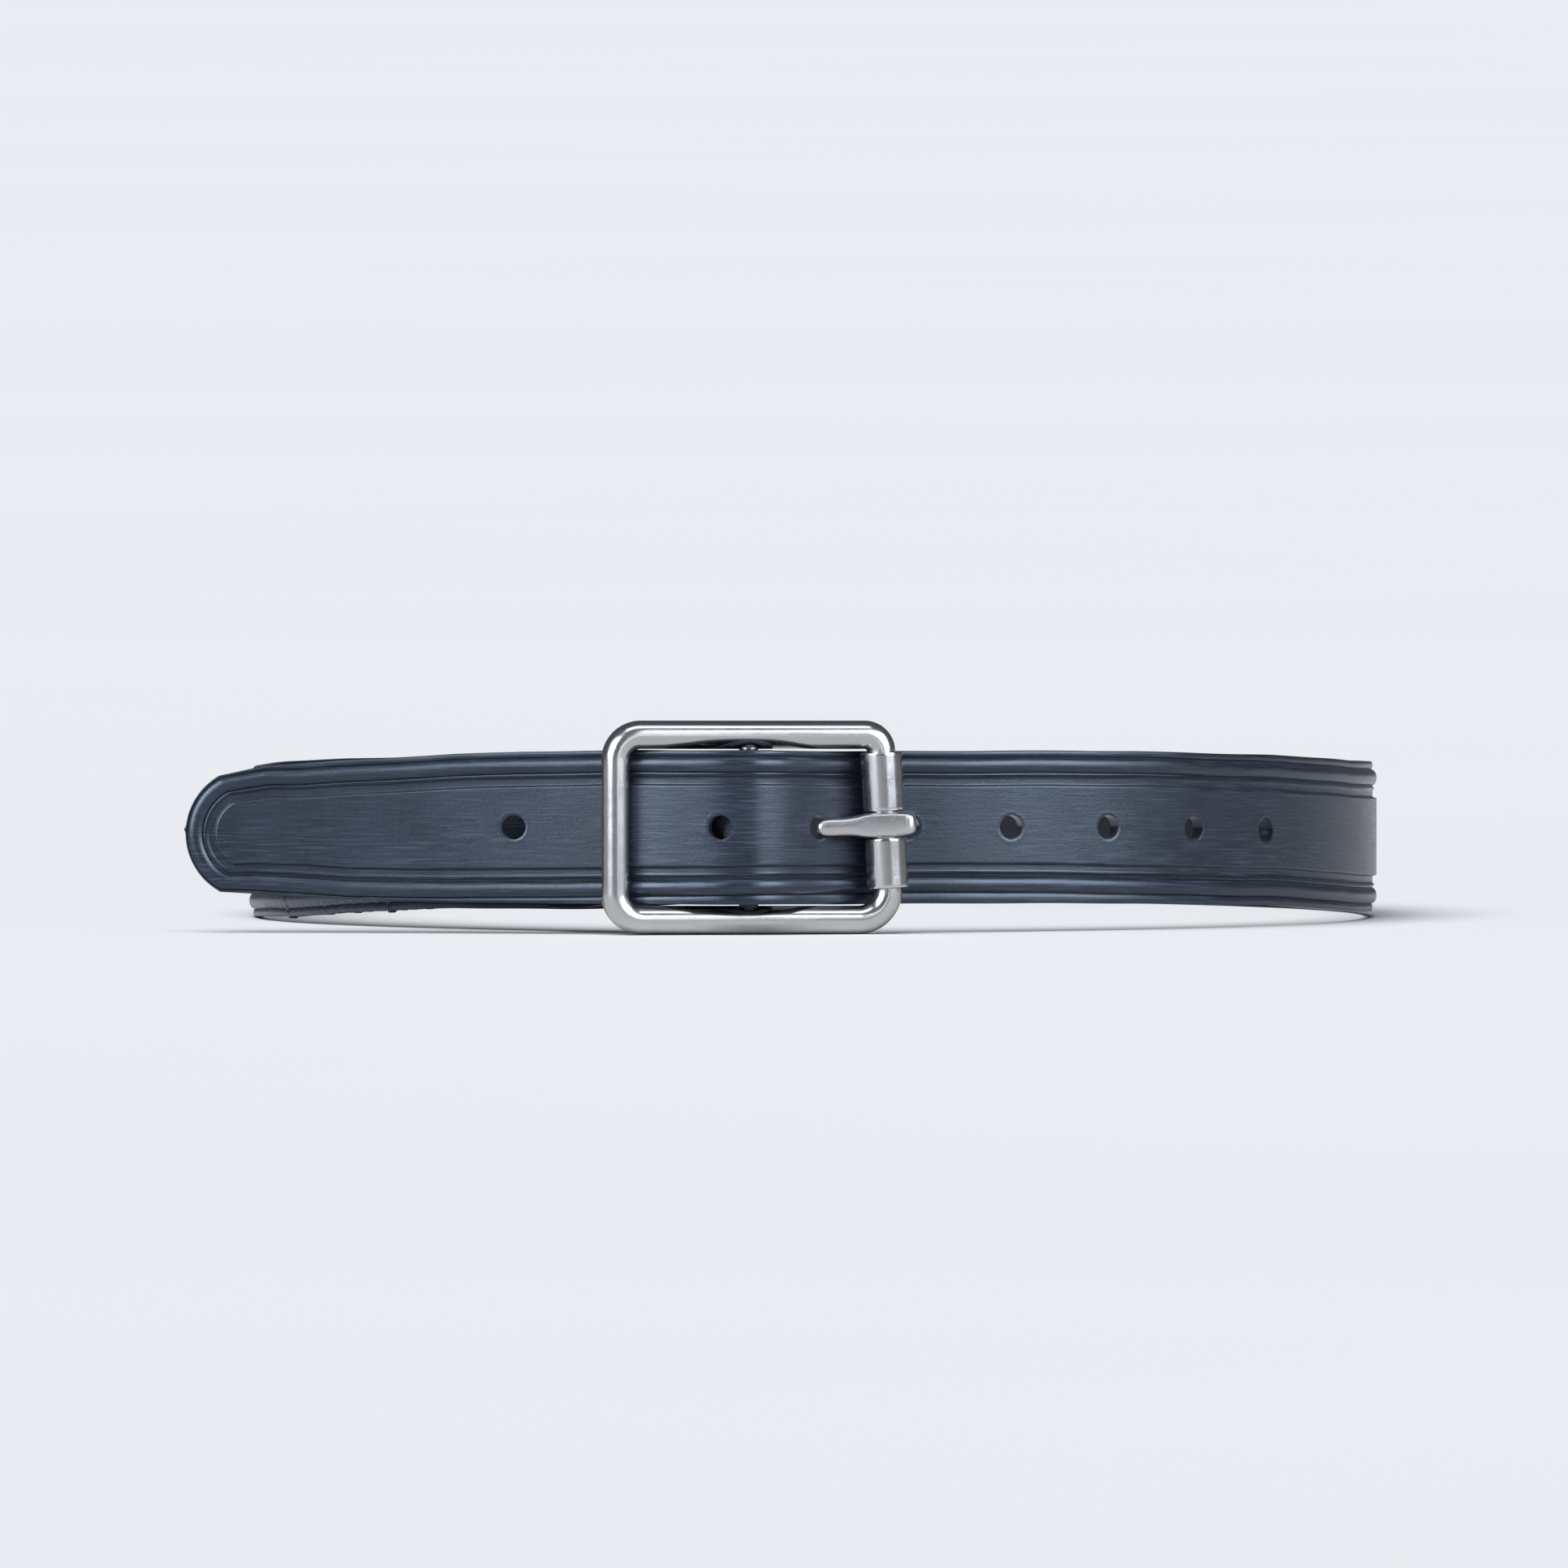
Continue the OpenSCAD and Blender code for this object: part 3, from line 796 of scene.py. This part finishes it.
def build_tongue():
    line = np.array(TONGUE_LINE)
    xs = np.unique(np.concatenate([line[:, 0], np.linspace(-22.3, 10.3, 90)]))
    rows = [np.interp(xs, line[:, 0], line[:, k]) for k in range(1, 5)]
    sides, verts = 48, []
    a = np.linspace(0, 2 * math.pi, sides, endpoint=False)
    for x, low, high, half, power in zip(xs, *rows):
        for t in a:
            c, s = math.cos(t), math.sin(t)
            z = half * math.copysign(abs(c) ** (2 / power), c)
            y = (low + high) / 2 + (high - low) / 2 * math.copysign(abs(s) ** (2 / power), s)
            verts.append((x, -y, z))
    turn = np.array(verts)
    cy, sy = math.cos(-FRAME_YAW), math.sin(-FRAME_YAW)
    x, y, z = turn.T
    turned = np.stack([x * cy - y * sy, x * sy + y * cy, z], 1)
    turned[:, 2] += TONGUE_RISE
    faces = grid_faces(len(xs), sides)
    faces += [tuple(range(sides)), tuple(range((len(xs) - 1) * sides, len(xs) * sides))]
    obj = new_object("tongue_pin", bar_frame(turned), faces, TONGUE_STEEL, None)
    ends = bar_frame([[0, 0, -20], [0, 0, 20]])
    axis = Vector(ends[1]) - Vector(ends[0])
    middle = (Vector(ends[0]) + Vector(ends[1])) / 2
    cut(obj, cutter_at([(middle, axis.normalized(), (ROD_R + RUN_GAP) * MM, 0.04)]))
    finish_mesh(obj, 40)
    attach(obj, "tongue")
    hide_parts("tongue")
    return obj


def rivet_points(verts, z):
    """Rivet's own frame (Z outwards along the post) to the row frame."""
    v = np.asarray(verts, float)
    d, e = ahead_of(RIVET_DIR), left_of(RIVET_DIR)
    x = RIVET_AT[0] + d[0] * v[:, 2] + e[0] * v[:, 0]
    y = RIVET_AT[1] + d[1] * v[:, 2] + e[1] * v[:, 0]
    return stood(np.stack([x, y, z + v[:, 1]], 1))


def build_rivet(side, z):
    """Post through the folded end and the cap pressed on its outer end."""
    half = RIVET_STACK / 2
    post = [(0.01, -half - 1.2), (2.5, -half - 1.15), (4.4, -half - 0.8), (5.2, -half - 0.35)]
    post += [(5.45, -half), (2.52, -half), (2.5, -half + 0.3), (2.5, half + 1.0)]
    post += [(2.3, half + 1.2), (0.01, half + 1.2)]
    cap = [(2.55, half), (5.45, half), (5.2, half + 0.4), (4.4, half + 0.85), (3.2, half + 1.15)]
    cap += [(2.55, half + 1.2)]
    for node, profile in (("rivet_post_" + side, post), ("rivet_cap_" + side, cap)):
        verts, faces = lathe(profile, 48)
        new_object(node, rivet_points(verts, z), faces, RIVET_STEEL, "belt", node)


build_strap()
build_ring()
build_centre_bar()
EYE_TOP = TONGUE_RISE + TONGUE_HALF_W + SIDE_GAP
EYE_BOTTOM = TONGUE_RISE - TONGUE_HALF_W - SIDE_GAP
build_sleeve("upper_roller", EYE_TOP, EYE_TOP + UPPER_ROLLER_L, "upper_roller")
build_sleeve("lower_roller", EYE_BOTTOM - LOWER_ROLLER_L, EYE_BOTTOM, "lower_roller")
build_tongue()
for side, z in (("upper", RIVET_Z - RIVET_DROP), ("lower", -RIVET_Z - RIVET_DROP)):
    build_rivet(side, z)

# ---------------------------------------------------------------------------
# Floor, light and camera
# ---------------------------------------------------------------------------
FLOOR_HALF = 150.0
only_floor = bpy.data.collections.new("only_floor")
not_floor = bpy.data.collections.new("not_floor")
only_frame = bpy.data.collections.new("only_frame")


def build_floor():
    """Pale floor, and the groups of what each light reaches."""
    h = FLOOR_HALF
    m = Nodes("floor_pale")
    coord = m.add("ShaderNodeTexCoord").outputs["Object"]
    tone = m.noise(coord, 0.5, 2, 0.5)
    pale = m.mix(m.ramp(tone, 0.3, 0.7, 0, 1), (0.80, 0.81, 0.83), (0.82, 0.83, 0.85))
    m.link(pale, m.shader.inputs["Base Color"])
    m.shader.inputs["Roughness"].default_value = 0.9
    m.shader.inputs["Specular IOR Level"].default_value = 0.0
    corners = [(-h, -h, 0), (h, -h, 0), (h, h, 0), (-h, h, 0)]
    floor = new_object("floor", corners, [(0, 1, 2, 3)], m.mat, None)
    only_floor.objects.link(floor)
    only_frame.objects.link(bpy.data.objects["buckle_ring"])
    not_floor.objects.link(floor)
    not_floor.collection_objects[0].light_linking.link_state = "EXCLUDE"


def soft_box(name, azimuth, elevation, distance, width, tall, power, aim, tint, lit=None):
    """Soft box for the belt, or only for the group lit. Azimuth 0 is the camera's side, right positive."""
    data = bpy.data.lights.new(name, "AREA")
    data.shape, data.size, data.size_y, data.energy = "RECTANGLE", width, tall, power
    data.color = tint
    obj = bpy.data.objects.new(name, data)
    a, e = math.radians(azimuth), math.radians(elevation)
    way = Vector((math.sin(a) * math.cos(e), -math.cos(a) * math.cos(e), math.sin(e)))
    obj.location = Vector(aim) + distance * way
    obj.rotation_euler = way.to_track_quat("Z", "Y").to_euler()
    obj.visible_camera = False
    obj.light_linking.receiver_collection = lit or not_floor
    bpy.context.scene.collection.objects.link(obj)


def floor_light():
    """Even light from above that reaches the floor only."""
    data = bpy.data.lights.new("floor_wash", "SUN")
    data.energy, data.angle = 3.3, math.radians(60)
    data.color = (0.98, 0.99, 1.0)
    obj = bpy.data.objects.new("floor_wash", data)
    obj.rotation_euler = (math.radians(25), math.radians(-15), 0)
    obj.light_linking.receiver_collection = only_floor
    bpy.context.scene.collection.objects.link(obj)


def build_world():
    world = bpy.data.worlds.new("studio")
    bpy.context.scene.world = world
    world.use_nodes = True
    back = world.node_tree.nodes["Background"]
    back.inputs["Color"].default_value = (0.80, 0.88, 1.0, 1)
    back.inputs["Strength"].default_value = 0.13


def build_camera():
    """A very long lens looking straight along the plane of the leaning belt."""
    far, tilt = 15.0, LEAN
    aim = Vector((-0.0102, -0.195, 0.0496))
    data = bpy.data.cameras.new("camera")
    data.sensor_width = 36.0
    data.lens = 36.0 * far / 0.5166
    data.clip_start, data.clip_end = 0.5, 400.0
    obj = bpy.data.objects.new("camera", data)
    bpy.context.scene.collection.objects.link(obj)
    obj.location = aim + far * Vector((0, -math.cos(tilt), math.sin(tilt)))
    obj.rotation_euler = (math.pi / 2 - tilt, 0, 0)
    bpy.context.scene.camera = obj


build_floor()
AIM = (0, -0.19, 0.04)
COOL = (0.84, 0.92, 1.0)
soft_box("box_left", -46, 23, 1.5, 0.9, 0.95, 34, AIM, COOL)
soft_box("box_right", 49, 23, 1.6, 1.3, 0.95, 38, AIM, COOL)
soft_box("box_top", 6, 68, 1.8, 1.3, 0.6, 8, AIM, COOL)
soft_box("strip", 13.0, 15, 0.456, 0.04, 0.27, 0.10, AIM, COOL, only_frame)
floor_light()
build_world()
build_camera()
bpy.context.scene.view_settings.view_transform = "Standard"
